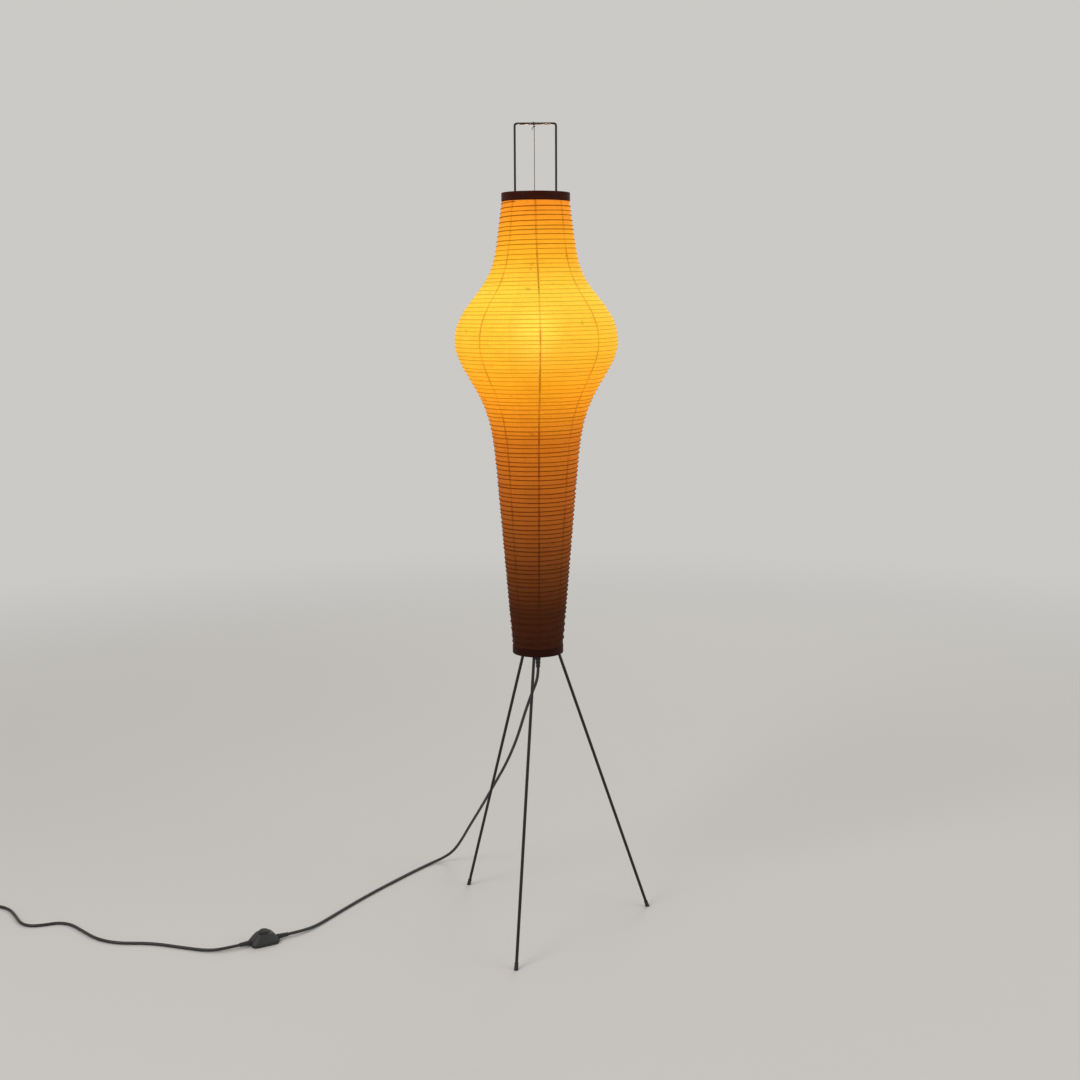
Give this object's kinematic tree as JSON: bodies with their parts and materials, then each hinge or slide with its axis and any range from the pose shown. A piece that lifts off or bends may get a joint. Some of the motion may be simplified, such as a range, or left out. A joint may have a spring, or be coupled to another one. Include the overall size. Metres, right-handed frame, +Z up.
{
  "type": "paper lantern floor lamp",
  "caption": "Tall wound-rib paper lantern on a bent wire frame over three splayed steel rods, with a lead, foot switch and plug.",
  "frame": {"origin": "on the floor under the lantern's axis", "axes": "+Z up along the lantern, front of the lamp faces -Y, the lead runs to -X"},
  "size_m": [1.47, 0.5347, 1.5716],
  "materials": {
    "black_steel": "satin black stove enamel",
    "black_rubber": "matt",
    "black_lead": "smooth lead sheath",
    "lacquered_hoop": "dark red-brown lacquer",
    "mulberry_paper": "fibrous, translucent",
    "bamboo": "split bamboo",
    "linen_string": "twisted",
    "black_moulding": "moulded",
    "tie_band": "woven band",
    "porcelain": "glazed",
    "contact_brass": "plain",
    "solder": "dull",
    "opal_glass": "frosted",
    "contact_block": "phenolic",
    "screw_steel": "zinc plated"
  },
  "bodies": {
    "lamp": {"leg_left": "black_steel", "leg_right": "black_steel", "leg_front": "black_steel", "wire_frame": "black_steel", "lampholder_bracket": "black_steel", "base_hub": "black_steel", "foot_cap_left": "black_rubber", "foot_cap_right": "black_rubber", "foot_cap_front": "black_rubber", "cord_strain_relief": "black_rubber", "switch_relief_lamp": "black_rubber", "switch_relief_plug": "black_rubber", "plug_relief": "black_rubber", "inner_cord": "black_lead", "cord_to_switch": "black_lead", "cord_from_switch": "black_lead", "cord_coil": "black_lead", "base_ring": "lacquered_hoop", "paper_shade": "mulberry_paper", "rib_winding": "bamboo", "shade_string": "linen_string", "lampholder_cap": "black_moulding", "lampholder_shell": "black_moulding", "switch_base": "black_moulding", "switch_cover": "black_moulding", "plug_body": "black_moulding", "coil_tie": "tie_band", "lampholder_core": "porcelain", "thread_sleeve": "contact_brass", "centre_contact": "contact_brass", "plug_blades": "contact_brass", "switch_spring": "contact_brass", "holder_nipple": "contact_brass", "holder_nut": "contact_brass", "switch_block": "contact_block", "leg_set_screws": "screw_steel", "frame_set_screws": "screw_steel", "switch_screws": "screw_steel"},
    "upper_ring": {"top_ring": "lacquered_hoop", "ring_cross_wire": "black_steel"},
    "bulb_contact": {"bulb_tip": "solder"},
    "bulb": {"bulb_glass": "opal_glass", "bulb_cap": "contact_brass"},
    "button": {"switch_button": "black_moulding"}
  },
  "joints": [
    {"name": "ring_lower", "type": "slide", "parent": "lamp", "child": "upper_ring", "axis": [0, 0, -1], "range_m": [0, 0.19], "deforming": ["paper_shade", "rib_winding", "shade_string"]},
    {"name": "bulb_lift", "type": "slide", "parent": "lamp", "child": "bulb_contact", "axis": [0, 0, 1], "range_m": [0, 0.0255]},
    {"name": "bulb_turn", "type": "hinge", "parent": "bulb_contact", "child": "bulb", "pos_m": [0, 0, 1.15], "axis": [0, 0, 1], "range_deg": [0, 2520]},
    {"name": "button_press", "type": "slide", "parent": "lamp", "child": "button", "axis": [0, 0, -1], "range_m": [0, 0.003], "stiffness_N_per_m": 400, "springref_m": -0.003, "deforming": ["switch_spring"]}
  ],
  "couplings": [
    {"joint": "bulb_lift", "follows": "bulb_turn", "m_per_rad": 0.0005776}
  ]
}
